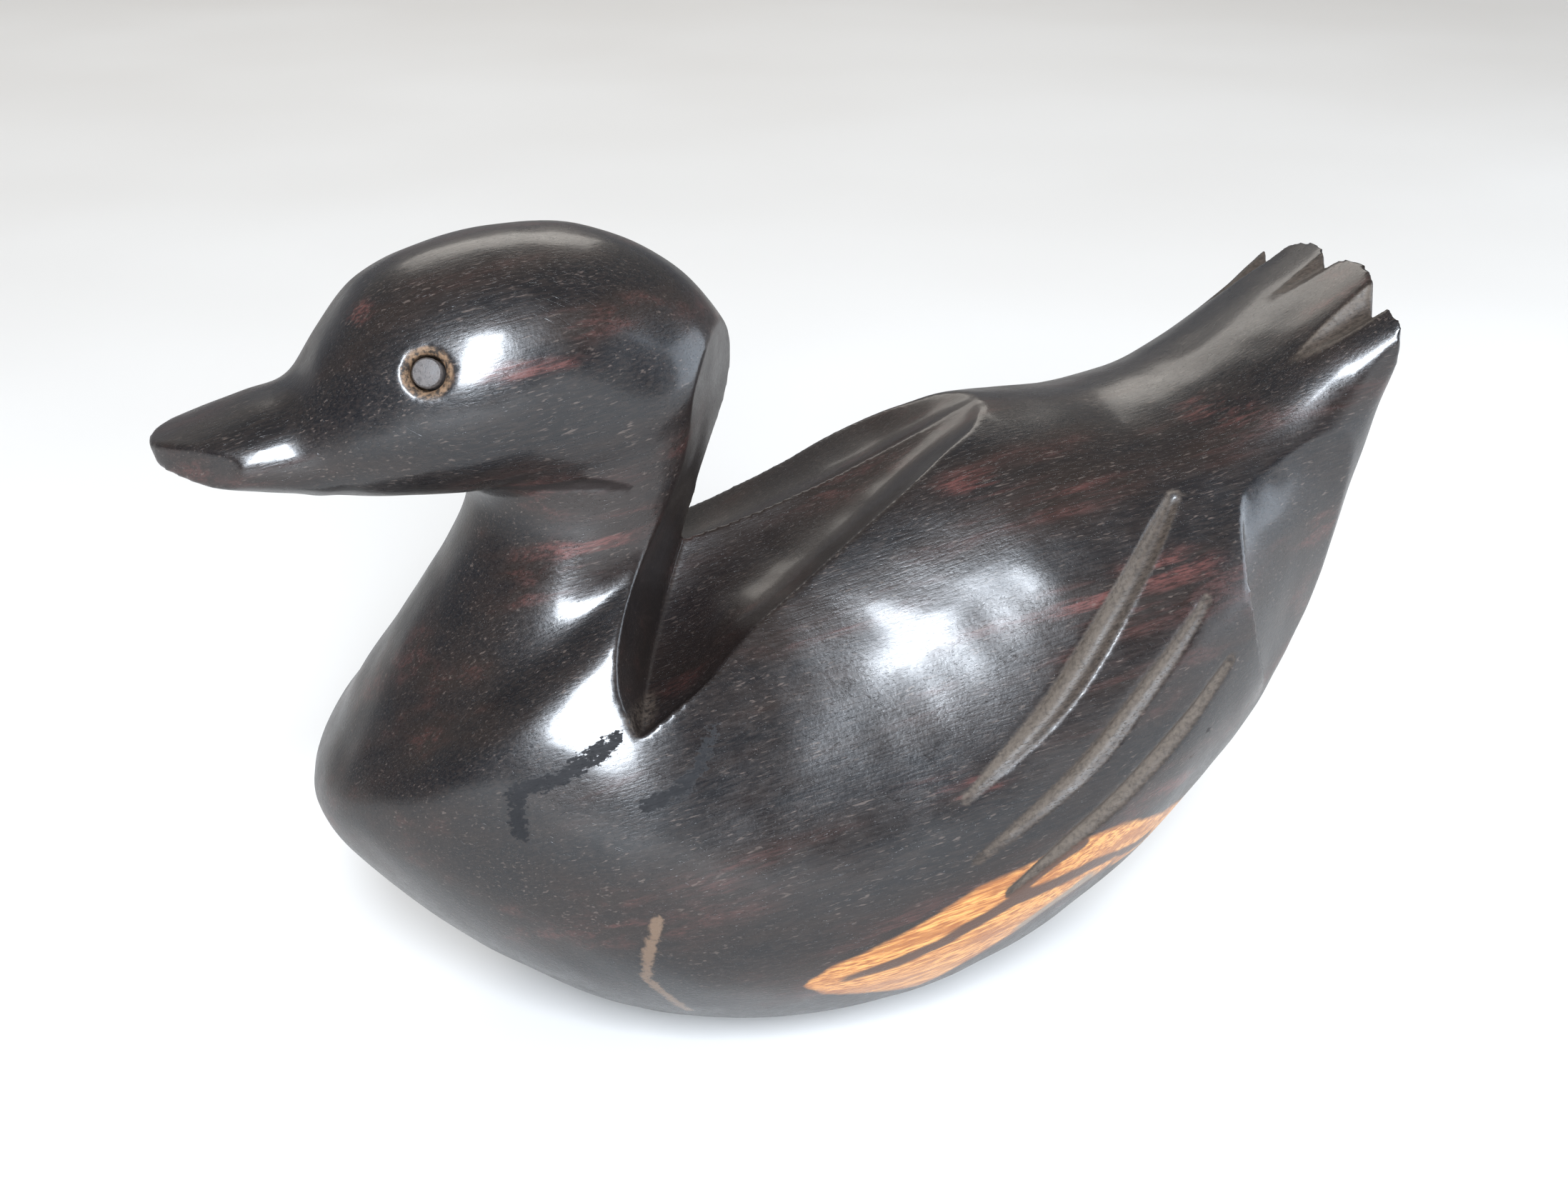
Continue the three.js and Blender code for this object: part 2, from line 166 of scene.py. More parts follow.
# %% Make the rounded block
# back x, back z, under x, under z, half width, widest level, squareness above, squareness below
RUNGS = [
    (83.1, 100.1, 82.7, 91.9, 21.0, 0.38, 1.95, 3.0),
    (77.9, 96.7, 82.5, 81.1, 20.2, 0.58, 2.2, 2.4),
    (70.7, 92.5, 81.7, 68.1, 20.2, 0.60, 2.4, 2.1),
    (62.7, 88.3, 78.7, 54.3, 22.6, 0.58, 2.2, 2.0),
    (54.7, 84.7, 73.5, 42.3, 26.4, 0.55, 2.1, 1.95),
    (45.7, 82.9, 65.9, 31.3, 30.4, 0.52, 2.0, 1.95),
    (36.2, 82.9, 55.9, 21.5, 33.8, 0.48, 1.95, 1.95),
    (25.7, 83.3, 43.5, 11.9, 36.6, 0.44, 1.8, 2.0),
    (15.7, 82.3, 29.1, 4.1, 38.2, 0.40, 1.68, 2.0),
    (6.7, 80.3, 13.5, -0.5, 39.0, 0.37, 1.58, 2.0),
    (-0.8, 78.3, -2.3, -1.8, 39.0, 0.36, 1.53, 2.0),
    (-6.3, 76.9, -17.9, 0.0, 38.0, 0.36, 1.55, 2.0),
    (-9.8, 75.7, -32.9, 5.1, 36.0, 0.37, 1.66, 2.0),
    (-11.8, 75.3, -47.3, 14.3, 33.0, 0.40, 1.8, 2.0),
    (-12.8, 75.5, -59.0, 25.1, 29.0, 0.42, 1.95, 2.0),
    (-12.8, 76.3, -66.7, 36.9, 24.6, 0.44, 2.0, 2.0),
    (-12.1, 78.7, -62.5, 46.7, 18.6, 0.46, 2.0, 2.0),
    (-10.9, 82.1, -55.3, 57.6, 15.9, 0.48, 2.0, 2.0),
    (-8.9, 87.1, -47.5, 68.7, 15.0, 0.50, 2.0, 2.0),
    (-7.9, 92.7, -43.7, 76.7, 15.6, 0.50, 2.0, 2.1),
    (-9.1, 98.5, -44.3, 79.9, 17.0, 0.50, 2.1, 2.2),
    (-14.7, 105.3, -47.3, 79.9, 17.8, 0.48, 2.1, 2.2),
    (-24.1, 110.7, -51.3, 80.0, 18.6, 0.46, 2.1, 2.2),
    (-35.3, 112.3, -54.9, 80.2, 18.0, 0.44, 2.1, 2.2),
    (-46.3, 110.9, -58.3, 80.5, 16.2, 0.42, 2.1, 2.2),
    (-54.7, 107.5, -61.1, 80.8, 14.0, 0.38, 2.1, 2.2),
    (-60.7, 101.1, -63.7, 81.1, 12.0, 0.34, 2.1, 2.3),
    (-64.8, 95.5, -66.5, 82.1, 11.2, 0.34, 2.1, 2.4),
    (-70.3, 93.4, -70.5, 83.0, 10.8, 0.36, 2.1, 2.5),
    (-76.8, 91.3, -75.8, 84.2, 10.0, 0.38, 2.2, 2.5),
    (-82.7, 89.3, -81.7, 86.6, 9.0, 0.42, 2.3, 2.5),
]
RING_POINTS = 144
RINGS_PER_RUNG = 8


def body_ring(row):
    """One section: half a squared ellipse above the widest level and half below it."""
    back_x, back_z, under_x, under_z, half_width, level, above, below = row
    angle = np.arange(RING_POINTS) * 2 * math.pi / RING_POINTS
    c, s = np.cos(angle), np.sin(angle)
    power = 2 / np.where(s >= 0, above, below)
    out = half_width * np.sign(c) * np.abs(c) ** power
    up = np.sign(s) * np.abs(s) ** power
    share = level + up * np.where(s >= 0, 1 - level, level)
    return np.stack([under_x + (back_x - under_x) * share, out, under_z + (back_z - under_z) * share], -1)


body_shares = np.linspace(0, 1, (len(RUNGS) - 1) * RINGS_PER_RUNG + 1)
block = stack_rings("duck_body", [body_ring(row) for row in smooth_rows(RUNGS, body_shares)])
uncut = BVHTree.FromObject(block, bpy.context.evaluated_depsgraph_get())
print("block:", len(block.data.polygons), "triangles")

# %% [markdown]
# ## The hollowed back
# Behind the neck the carver scooped two hollows that leave a ridge down the middle, and the wings stand up
# round them. The cut is made with a solid shaped like the air over the back. A wedge is kept out of that air:
# it is the neck, whose back is two flat faces meeting in a line down the nape.

# %% Shape the air over the back and the neck
# x, ridge z, crease y, crease z, sag
BACK_FLOOR = [
    (-35.3, 71.1, 28.5, 49.6, 3.6),
    (-27.3, 67.6, 26.6, 53.1, 3.9),
    (-19.3, 66.7, 25.2, 57.7, 4.4),
    (-11.6, 68.5, 23.8, 63.0, 4.0),
    (-2.3, 71.0, 20.5, 68.2, 3.4),
    (5.3, 73.6, 18.0, 72.8, 2.7),
    (14.1, 77.1, 13.5, 77.3, 1.7),
    (19.7, 79.6, 10.0, 80.1, 0.9),
    (25.7, 82.3, 7.0, 82.7, 0.3),
    (33.7, 86.1, 5.0, 87.1, 0.0),
]
# z, nape x, face angle in degrees
NAPE = [
    (33.1, -18.3, 76),
    (51.1, -16.9, 68.5),
    (59.1, -15.9, 60.5),
    (68.1, -14.9, 56.5),
    (76.1, -12.3, 56),
    (84.1, -9.7, 58),
    (92.7, -7.9, 58),
    (103.1, -7.5, 62),
    (118.1, -7.3, 64),
]
AIR_TOP = 125.0
FLOOR_REACH = 48.0
FLOOR_POINTS = 16
FLOOR_STEPS = 96
VALLEY_LEAN = 1.25
WING_SLOPE = 0.6
FACE_SPANS = np.linspace(3, 44, 14)
NECK_STEPS = 180
PAST_THE_BILL = -90.0


def both_sides(half):
    """A section that is drawn from its middle out to the right, with its left half mirrored in front."""
    half = np.asarray(half, float)
    return np.concatenate([(half * (1, -1, 1))[:0:-1], half])


def back_section(row):
    x, ridge, crease_y, crease_z, sag = row
    t = np.linspace(0, 1, FLOOR_POINTS + 1)
    past = (1 - t) ** VALLEY_LEAN
    dip = 4 * sag * past * (1 - past)
    floor = np.stack([t * 0 + x, crease_y * t, ridge + (crease_z - ridge) * t - dip], -1)
    rim = (x, FLOOR_REACH, crease_z + (FLOOR_REACH - crease_y) * WING_SLOPE)
    return both_sides([*floor, rim, (x, FLOOR_REACH, AIR_TOP)])


def neck_section(row):
    z, x, degrees = row
    turn = math.radians(degrees)
    face = [(x - span * math.cos(turn), span * math.sin(turn), z) for span in FACE_SPANS]
    return both_sides([(x, 0, z), *face, (PAST_THE_BILL, face[-1][1], z)])


floor_rows = smooth_rows(BACK_FLOOR, np.linspace(0, 1, FLOOR_STEPS))
air = stack_rings("air_over_back", [back_section(row) for row in floor_rows])
nape_rows = smooth_rows(NAPE, np.linspace(0, 1, NECK_STEPS))
neck = stack_rings("neck_wedge", [neck_section(row) for row in nape_rows])
print("air over the back:", len(air.data.polygons), "triangles")

# %% Cut one solid from another


def subtract(thing, cutter):
    """Cuts cutter out of thing and throws the cutter away."""
    cut = thing.modifiers.new("cut", "BOOLEAN")
    cut.operation = "DIFFERENCE"
    cut.solver = "MANIFOLD"
    cut.object = cutter
    with bpy.context.temp_override(object=thing, active_object=thing, selected_objects=[thing]):
        bpy.ops.object.modifier_apply(modifier=cut.name)
    mesh = cutter.data
    bpy.data.objects.remove(cutter)
    bpy.data.meshes.remove(mesh)
    return thing


air = subtract(air, neck)
air_surface = BVHTree.FromObject(air, bpy.context.evaluated_depsgraph_get())
block = subtract(block, air)
print("after the back:", len(block.data.polygons), "faces")

# %% [markdown]
# ## Gouge cuts
# A gouge leaves a round-bottomed channel that starts shallow, deepens and runs out. A tapered tube laid along
# the cut, with part of it standing out of the wood, takes away the same shape. The cuts on each wing are laid
# on the uncut block, and the ones between the tail feathers run out past its end.

# %% Lay the gouge cuts
# side view, upper end first: x, z, tool radius
WING_GOUGES = [
    [(47.2, 74.8, 0.8), (37.5, 65.8, 1.7), (25.0, 52.2, 1.8), (12.6, 41.8, 0.5)],
    [(48.8, 62.7, 0.6), (40.0, 54.3, 1.4), (28.0, 43.0, 1.5), (13.8, 33.7, 0.4)],
    [(52.8, 53.7, 0.8), (44.0, 45.2, 1.6), (32.5, 36.6, 1.7), (18.5, 27.9, 0.5)],
]
GOUGE_LIFT = 0.45
JAW_LINE = [(-46.5, 81.0, 0.25), (-39.0, 82.2, 0.3), (-31.0, 82.6, 0.6), (-25.5, 81.6, 0.25)]
# root first: x, y, z, tool radius
TAIL_GROOVES = [
    [(70.5, 0.0, 94.0, 0.9), (77.0, 0.0, 98.0, 2.1), (86.0, 0.0, 103.6, 3.1)],
    [(67.5, 14.4, 89.6, 1.0), (75.0, 14.3, 94.3, 2.4), (86.0, 14.2, 101.2, 3.3)],
    [(67.5, -14.4, 89.6, 1.0), (75.0, -14.3, 94.3, 2.4), (86.0, -14.2, 101.2, 3.3)],
]
TOOL_SIDES = 24
TOOL_STEPS = 60
WELL_OUTSIDE = 100.0
SIDES = (-1, 1)
tool_lines = []
knife_lines = []


def tool_path(points, kept_in):
    """A tapered round tool swept through points of x, y, z and radius. Its line is kept for the finish."""
    line = smooth_rows(points, np.linspace(0, 1, TOOL_STEPS))
    kept_in.append(line)
    middle = line[:, :3]
    along = np.gradient(middle, axis=0)
    along /= np.linalg.norm(along, axis=1, keepdims=True)
    across = np.cross(along, (0.0, 0.0, 1.0))
    across /= np.linalg.norm(across, axis=1, keepdims=True)
    up = np.cross(across, along)
    angle = np.arange(TOOL_SIDES) * 2 * math.pi / TOOL_SIDES
    round_it = np.cos(angle)[None, :, None] * across[:, None] + np.sin(angle)[None, :, None] * up[:, None]
    return stack_rings("tool_path", middle[:, None] + round_it * line[:, 3][:, None, None])


def on_side(x, z, side):
    """How far out the uncut block reaches at x and z, in millimetres."""
    start = Vector((x, side * WELL_OUTSIDE, z)) * MM
    hit, *_ = uncut.ray_cast(start, Vector((0, -side, 0)))
    return hit.y / MM


def on_skin(points, lift, side):
    """Points of x, z and radius laid on one side of the block, with part of the radius left standing out."""
    return [(x, on_side(x, z, side) + side * radius * lift, z, radius) for x, z, radius in points]


for groove in TAIL_GROOVES:
    subtract(block, tool_path(groove, tool_lines))
for side in SIDES:
    for gouge in WING_GOUGES:
        subtract(block, tool_path(on_skin(gouge, GOUGE_LIFT, side), tool_lines))
    subtract(block, tool_path(on_skin(JAW_LINE, 0.0, side), knife_lines))
print("gouge cuts:", len(tool_lines), "knife lines:", len(knife_lines))

# %% [markdown]
# ## Flats and ends
# Under the tail each side is pared to a flat that meets the wing in a step. The feathers end in shallow
# curves with a notch at each groove, and the bill ends in one curve. All of these are clean chops on the
# real duck, so here each is cut away by one plain solid.

# %% Pare the flats and trim the ends
# from the tail down: inner edge x, y, z, then outer edge x, y, z
TAIL_FLAT = [
    (70.0, 21.6, 88.0, 84.6, 22.6, 92.0),
    (58.6, 22.4, 77.6, 82.6, 19.4, 79.6),
    (55.8, 26.2, 69.0, 79.0, 17.8, 68.0),
    (55.9, 28.2, 60.4, 75.0, 17.8, 58.0),
    (58.6, 27.2, 51.6, 71.0, 18.8, 49.0),
    (63.6, 24.0, 43.6, 68.0, 20.6, 42.0),
]
TAIL_FLAT_REACH = 9.0
TAIL_FLAT_STEPS = 64
TAIL_FLAT_POINTS = 9
TAIL_END = [(81.2, 0.0), (85.0, 7.0), (80.2, 14.2), (82.4, 18.6), (80.8, 22.8)]
TAIL_CUT = (86.0, 120.0, 100.0)
BILL_END = [(-72.7, -10.0), (-92.7, 0.0), (-72.7, 10.0)]
BILL_CUT = (76.0, 100.0, -95.0)
CURVE_POINTS = 24
BILL_MARGIN = 5.0


def tail_flat(side):
    """The wood that is pared away beside the tail, as one solid."""
    rings = []
    for row in smooth_rows(TAIL_FLAT, np.linspace(0, 1, TAIL_FLAT_STEPS)):
        inner = row[:3] * (1, side, 1)
        outer = row[3:] * (1, side, 1)
        along = (outer - inner) / np.linalg.norm(outer - inner)
        away = np.array((-side * along[1], side * along[0], 0.0))
        away *= TAIL_FLAT_REACH / np.linalg.norm(away)
        past = outer + along * TAIL_FLAT_REACH
        face = [inner + (past - inner) * share for share in np.linspace(0, 1, TAIL_FLAT_POINTS)]
        rings.append([*face, past + away, inner + away])
    return stack_rings("tail_flat", rings)


def pulled_curve(start, pull, end):
    """Points on a curve from start to end that is pulled towards a third point."""
    t = np.linspace(0, 1, CURVE_POINTS)[:, None]
    start, pull, end = (np.array(p) for p in (start, pull, end))
    return (1 - t) ** 2 * start + 2 * t * (1 - t) * pull + t ** 2 * end


def stand_up(name, outline, low, high):
    """A plan outline as a solid between two heights."""
    return stack_rings(name, [[(x, y, z) for x, y in outline] for z in (low, high)])


def past_tail():
    low, high, far = TAIL_CUT
    half = np.concatenate([pulled_curve(*TAIL_END[0:3]), pulled_curve(*TAIL_END[2:5])[1:]])
    whole = np.concatenate([(half * (1, -1))[:0:-1], half])
    return stand_up("past_tail", [*whole, (far, half[-1][1]), (far, -half[-1][1])], low, high)


def past_bill():
    low, high, far = BILL_CUT
    curve = pulled_curve(*BILL_END)
    edge_x, edge_y = BILL_END[2]
    wide = edge_y + BILL_MARGIN
    outline = [*curve, (edge_x, wide), (far, wide), (far, -wide), (edge_x, -wide)]
    return stand_up("past_bill", outline, low, high)


def under_base():
    base = [(-100, -60), (100, -60), (100, 60), (-100, 60)]
    return stand_up("under_base", base, -20.0, 0.0)


for cutter in (past_tail(), past_bill(), tail_flat(-1), tail_flat(1), under_base()):
    subtract(block, cutter)
print("after flats and ends:", len(block.data.polygons), "faces")

# %% [markdown]
# ## Eye sockets
# Each eye is a round peg in a bored hole, inside a shallow raw ring. The bore is turned like a lathe profile
# and cut out of the head at the angle of the cheek.

# %% Bore the eye sockets
EYE = Vector((-50.2, 15.6, 99.3))
EYE_TURN = math.radians(19)
EYE_RISE = math.radians(22)
EYE_RING_RADIUS = 3.0
EYE_RING_DEPTH = 0.6
PEG_RADIUS = 1.85
PEG_LENGTH = 5.0
PEG_DOME = 0.2
FIT_GAP = 0.3
BORE_MOUTH = 3.0
LATHE_SIDES = 64


def out_of_eye(side):
    """The unit vector straight out of one eye."""
    level = math.cos(EYE_RISE)
    return Vector((-math.sin(EYE_TURN) * level, side * math.cos(EYE_TURN) * level, math.sin(EYE_RISE)))


def turned(name, profile, side):
    """A solid turned from a profile of radius and height, with its axis straight out of one eye."""
    angle = np.arange(LATHE_SIDES) * 2 * math.pi / LATHE_SIDES
    rings = [[(r * math.cos(a), r * math.sin(a), h) for a in angle] for r, h in profile]
    made = stack_rings(name, rings)
    place = Matrix.Translation(Vector((EYE.x, side * EYE.y, EYE.z)) * MM)
    made.data.transform(place @ out_of_eye(side).to_track_quat("Z", "Y").to_matrix().to_4x4())
    return made


bore_radius = PEG_RADIUS + FIT_GAP
bore_profile = [
    (bore_radius, -PEG_LENGTH - FIT_GAP),
    (bore_radius, -EYE_RING_DEPTH),
    (EYE_RING_RADIUS, -EYE_RING_DEPTH),
    (EYE_RING_RADIUS, BORE_MOUTH),
]
for side in SIDES:
    subtract(block, turned("eye_bore", bore_profile, side))
print("carved:", len(block.data.polygons), "faces")

# %% [markdown]
# ## Rubbing down
# After the cutting, the outside was scraped and rubbed until the facets ran together, and that rounds every
# edge a little. A fine voxel remesh turns the chopped-up faces into even ones, a few rounds of smoothing
# soften the edges, and a slow wave over the surface leaves the hand in it. Bevels could not do this: the
# edges fade in and out. The gouge cuts are softened too, but so lightly that they stay crisp.

# %% Even out the surface and soften it
REMESH_SIZE = 0.45 * MM
RUB_ROUNDS = 4
RUB_STRENGTH = 0.5
MOST_TRIANGLES = 190000


def apply_modifier(thing, kind, **settings):
    modifier = thing.modifiers.new(kind.lower(), kind)
    for name, value in settings.items():
        setattr(modifier, name, value)
    with bpy.context.temp_override(object=thing, active_object=thing, selected_objects=[thing]):
        bpy.ops.object.modifier_apply(modifier=modifier.name)


apply_modifier(block, "REMESH", mode="VOXEL", voxel_size=REMESH_SIZE)
apply_modifier(block, "SMOOTH", factor=RUB_STRENGTH, iterations=RUB_ROUNDS)
triangles = 2 * len(block.data.polygons)
apply_modifier(block, "DECIMATE", ratio=MOST_TRIANGLES / triangles)
print("rubbed down:", len(block.data.polygons), "faces from", triangles)

# %% Measure the surface


def vertex_points(thing):
    flat = np.zeros(len(thing.data.vertices) * 3)
    thing.data.vertices.foreach_get("co", flat)
    return flat.reshape(-1, 3) / MM


def vertex_normals(thing):
    flat = np.zeros(len(thing.data.vertices) * 3, np.float32)
    thing.data.vertices.foreach_get("normal", flat)
    return flat.reshape(-1, 3)


skin = vertex_points(block)
print("skin points:", len(skin))

# %% [markdown]
# ## Where the wood shows its story
# Some places differ from the polished outside: tool cuts are raw, a band of pale sapwood crosses the rear of
# the left belly, and the breast has a dark wandering stain and a tan scar. Red-brown streaks gather in a few
# places. The floor of each gouge gets a lighter tone, partly raw wood and partly a painted glint, and the jaw
# line and a short slit get painted shade. Each place is written onto the surface as a value from 0 to 1 at
# every point, so that the finish can read it. Painting an image would do the same, but worked-out values stay
# exact and need no picture.

# %% Mark the places on the surface
RAW_NEAR = 0.12
RAW_FAR = 0.40
TOOL_REACH = 6.0
BED_STARTS = 0.55
BED_FULL = 0.95
KNIFE_REACH = 3.0
KNIFE_EDGE = 0.35
RING_BLEND = 0.3
RING_NEAR = 7.0
RING_FAR = 8.0


def fade(values, zero_at, one_at):
    """Turns values into a smooth share, 0 at one value and 1 at another."""
    share = np.clip((values - zero_at) / (one_at - zero_at), 0, 1)
    return share * share * (3 - 2 * share)


def mark(name, values):
    layer = block.data.attributes.new(name, "FLOAT", "POINT")
    layer.data.foreach_set("value", np.asarray(values, np.float32))
    print("mark", name, "covers", round(float(np.mean(values > 0.5)) * 100, 2), "% of the points")


def line_distance(line, reach):
    """The distance from each point of the skin to a polyline, and how far along it the nearest place is."""
    line = np.asarray(line, float)
    best = np.full(len(skin), 1e3)
    along = np.zeros(len(skin))
    near = np.all((skin > line.min(0) - reach) & (skin < line.max(0) + reach), axis=1)
    spots = skin[near]
    nearest = np.full(len(spots), 1e3)
    share = np.zeros(len(spots))
    for i in range(len(line) - 1):
        step = line[i + 1] - line[i]
        t = np.clip((spots - line[i]) @ step / (step @ step), 0, 1)
        gap = np.linalg.norm(spots - line[i] - t[:, None] * step, axis=1)
        closer = gap < nearest
        nearest[closer] = gap[closer]
        share[closer] = (i + t[closer]) / (len(line) - 1)
    best[near] = nearest
    along[near] = share
    return best, along


def read_along(line, along, values):
    """Reads one value of a tool's line at a share of its length."""
    return np.interp(along, np.linspace(0, 1, len(line)), values)


raw = np.zeros(len(skin))
bed_glint = np.zeros(len(skin))
for line in tool_lines:
    gap, along = line_distance(line[:, :3], TOOL_REACH)
    radius = read_along(line, along, line[:, 3])
    depth = np.abs(skin[:, 1]) - read_along(line, along, np.abs(line[:, 1]))
    raw = np.maximum(raw, fade(np.abs(gap - radius), RAW_FAR, RAW_NEAR))
    # The floor of each gouge is marked for a lighter colour: partly the raw wood of the cut, partly a painted
    # glint along the middle of the channel.
    floor_share = fade(-depth / radius, BED_STARTS, BED_FULL)
    bed_glint = np.maximum(bed_glint, fade(gap - radius, RAW_FAR, RAW_NEAR) * floor_share)
mark("raw_cut", raw)
mark("gouge_bed_glint", bed_glint)

# The knife lines are marked so that the finish can dull them and paint shade into them.
knife = np.zeros(len(skin))
for line in knife_lines:
    gap, along = line_distance(line[:, :3], KNIFE_REACH)
    radius = read_along(line, along, line[:, 3])
    knife = np.maximum(knife, fade(gap - radius, KNIFE_EDGE, 0.0))
mark("knife_line", knife)

ring = np.zeros(len(skin))
for side in SIDES:
    out = np.array(out_of_eye(side))
    away = skin - np.array((EYE.x, side * EYE.y, EYE.z))
    height = away @ out
    radius = np.linalg.norm(away - height[:, None] * out, axis=1)
    round_eye = fade(radius, EYE_RING_RADIUS + RING_BLEND, EYE_RING_RADIUS)
    ring = np.maximum(ring, round_eye * fade(np.abs(height), RING_FAR, RING_NEAR))
mark("eye_ring", ring)

# %% Mark the hollow and the corner where it meets the neck
HOLLOW_REACH = 0.5
HOLLOW_FULL = 0.6
CORNER_REACH = 6.0
CORNER_FAR = 2.2
CORNER_NEAR = 0.6
CORNER_LINE = [(-29.0, 28.0, 55.2), (-27.1, 24.7, 54.7), (-24.7, 19.6, 53.6)]

hollow = np.zeros(len(skin))
for i, spot in enumerate(skin):
    found = air_surface.find_nearest(Vector(spot) * MM, HOLLOW_REACH * MM)
    if found[0] is not None:
        hollow[i] = 1 - found[3] / (HOLLOW_REACH * MM)
mark("hollow", fade(hollow, 0.0, HOLLOW_FULL))
corner = np.zeros(len(skin))
for side in SIDES:
    gap, _ = line_distance([(x, side * y, z) for x, y, z in CORNER_LINE], CORNER_REACH)
    corner = np.maximum(corner, fade(gap, CORNER_FAR, CORNER_NEAR))
mark("raw_corner", corner)

# %% Mark the sapwood, the stain and the scar
# x, lower z, upper z on the left side
SAPWOOD = [
    (-9.5, 17.6, 18.2),
    (-6.2, 14.6, 21.2),
    (1.4, 12.3, 24.2),
    (8.8, 10.6, 27.2),
    (15.0, 14.2, 30.2),
    (20.8, 16.9, 31.6),
    (25.2, 20.4, 33.0),
    (31.6, 23.0, 33.5),
    (38.8, 24.4, 33.2),
    (47.0, 26.0, 31.1),
    (54.0, 29.0, 30.0),
]
SAPWOOD_SIDE = -12.0
SAPWOOD_SOFT = 2.2
OUTSIDE = -9.0
SAPWOOD_LINES = [
    [
        (-4.0, -36.0, 18.3),
        (2.0, -37.1, 19.7),
        (9.5, -37.3, 21.8),
        (19.8, -37.3, 26.3),
        (32.0, -34.3, 27.6),
        (43.0, -29.0, 27.0),
    ],
    [(19.1, -37.8, 27.7), (22.8, -37.6, 29.7), (26.5, -37.3, 31.6), (29.5, -36.7, 32.5)],
    [(8.0, -30.5, 11.6), (15.0, -32.0, 15.0), (21.0, -32.5, 18.0), (28.0, -32.8, 22.0), (36.0, -31.0, 24.6)],
]
GREY_LINES = [[(22.5, -33.2, 19.8), (27.0, -33.4, 22.0), (32.0, -32.8, 24.4)]]
STAIN_LINES = [
    [(-6.0, -29.0, 57.5), (-8.6, -29.1, 55.9), (-13.4, -29.4, 54.7), (-16.0, -30.0, 53.4)],
    [(-18.9, -29.7, 53.9), (-21.7, -31.9, 49.2), (-24.2, -32.3, 47.3), (-28.9, -32.3, 45.5)],
    [(-31.8, -28.2, 53.5), (-34.6, -28.5, 51.6), (-38.3, -28.2, 49.5), (-44.5, -26.7, 47.3)],
    [(-44.0, -26.9, 47.6), (-44.5, -27.4, 44.6), (-44.2, -28.0, 42.3)],
]
SCAR_LINES = [
    [
        (-28.5, -34.7, 30.2),
        (-29.3, -33.6, 25.4),
        (-29.4, -31.6, 20.4),
        (-25.7, -30.1, 15.4),
        (-22.8, -28.2, 11.8),
    ],
]
SLIT_LINES = [[(15.4, -37.8, 41.5), (20.0, -37.3, 44.1), (24.1, -36.8, 46.8)]]
# x, y, z, half length, half height of the places where red-brown streaks gather
WARM_PLACES = [
    (20.6, -17.5, 77.0, 6.0, 1.6),
    (33.0, -30.5, 64.0, 7.0, 2.4),
    (44.0, -28.5, 67.0, 8.0, 2.6),
    (11.0, -37.5, 43.0, 8.0, 2.2),
    (-31.0, -15.0, 74.0, 5.0, 3.0),
    (-38.0, -17.5, 99.0, 9.0, 1.4),
    (57.5, -14.0, 83.0, 6.0, 1.8),
    (45.5, -32.0, 36.6, 5.0, 1.6),
    (-58.0, -7.0, 105.0, 4.0, 1.6),
    (-22.0, -20.0, 60.0, 4.0, 7.0),
]

table_x, table_low, table_high = np.array(SAPWOOD).T
low = np.interp(skin[:, 0], table_x, table_low)
high = np.interp(skin[:, 0], table_x, table_high)
inside = np.minimum(skin[:, 2] - low, high - skin[:, 2])
inside = np.where(skin[:, 1] < SAPWOOD_SIDE, inside, OUTSIDE)
inside = np.where((skin[:, 0] > table_x[0]) & (skin[:, 0] < table_x[-1]), inside, OUTSIDE)
mark("sapwood", fade(inside, -SAPWOOD_SOFT, SAPWOOD_SOFT))


def mark_lines(name, lines, far, near):
    """Marks what lies within near of any line fully, and fades the mark out at far."""
    gaps = [line_distance(line, far + 1)[0] for line in lines]
    mark(name, fade(np.min(gaps, axis=0), far, near))


mark_lines("sapwood_line", SAPWOOD_LINES, 2.2, 0.3)
mark_lines("sapwood_grey", GREY_LINES, 2.2, 1.3)
mark_lines("stain", STAIN_LINES, 2.4, 0.1)
mark_lines("scar", SCAR_LINES, 1.5, 0.3)
# The slit is drawn by a bump groove and painted shade in the finish.
mark_lines("slit", SLIT_LINES, 0.7, 0.2)
warm = np.zeros(len(skin))
for x, y, z, half_length, half_height in WARM_PLACES:
    spread = np.array((half_length, half_length, half_height))
    warm = np.maximum(warm, fade(np.linalg.norm((skin - (x, y, z)) / spread, axis=1), 1.3, 0.4))
mark("warm_place", warm)

# %% Leave the hand in it
HAND_WAVES = [(14.0, 0.10), (6.0, 0.03)]
HAND_SEED = 7
WAVES = 12
BASE_KEPT = 4.0


def slow_waves(points, length, seed):
    """A smooth wandering value from -1 to 1, made of waves of about one length in random directions."""
    chance = np.random.default_rng(seed)
    ways = chance.normal(size=(WAVES, 3))
    ways /= np.linalg.norm(ways, axis=1, keepdims=True)
    lengths = length * chance.uniform(0.8, 1.4, WAVES)
    phases = chance.uniform(0, 2 * math.pi, WAVES)
    waves = np.sin(points @ (ways * 2 * math.pi / lengths[:, None]).T + phases)
    return waves.sum(1) / math.sqrt(WAVES)


lift = sum(depth * slow_waves(skin, length, HAND_SEED + i) for i, (length, depth) in enumerate(HAND_WAVES))
lift *= np.clip(skin[:, 2] / BASE_KEPT, 0, 1)
rubbed = skin + vertex_normals(block) * lift[:, None]
block.data.vertices.foreach_set("co", (rubbed * MM).astype(np.float32).ravel())
block.data.polygons.foreach_set("use_smooth", [True] * len(block.data.polygons))
block.data.update()
print("waves, mm:", round(lift.min(), 2), "to", round(lift.max(), 2))

# %% [markdown]
# ## The eye pegs
# Each peg is a short round plug with a nearly flat, dull end. It is turned from a profile, like the bore.

# %% Turn the eye pegs
PEG_EDGE = 0.25
PEG_ROUND_FROM = 0.9
PEG_CENTRE = 0.02
PEG_SHARP = math.radians(35)
DOME_RINGS = 10


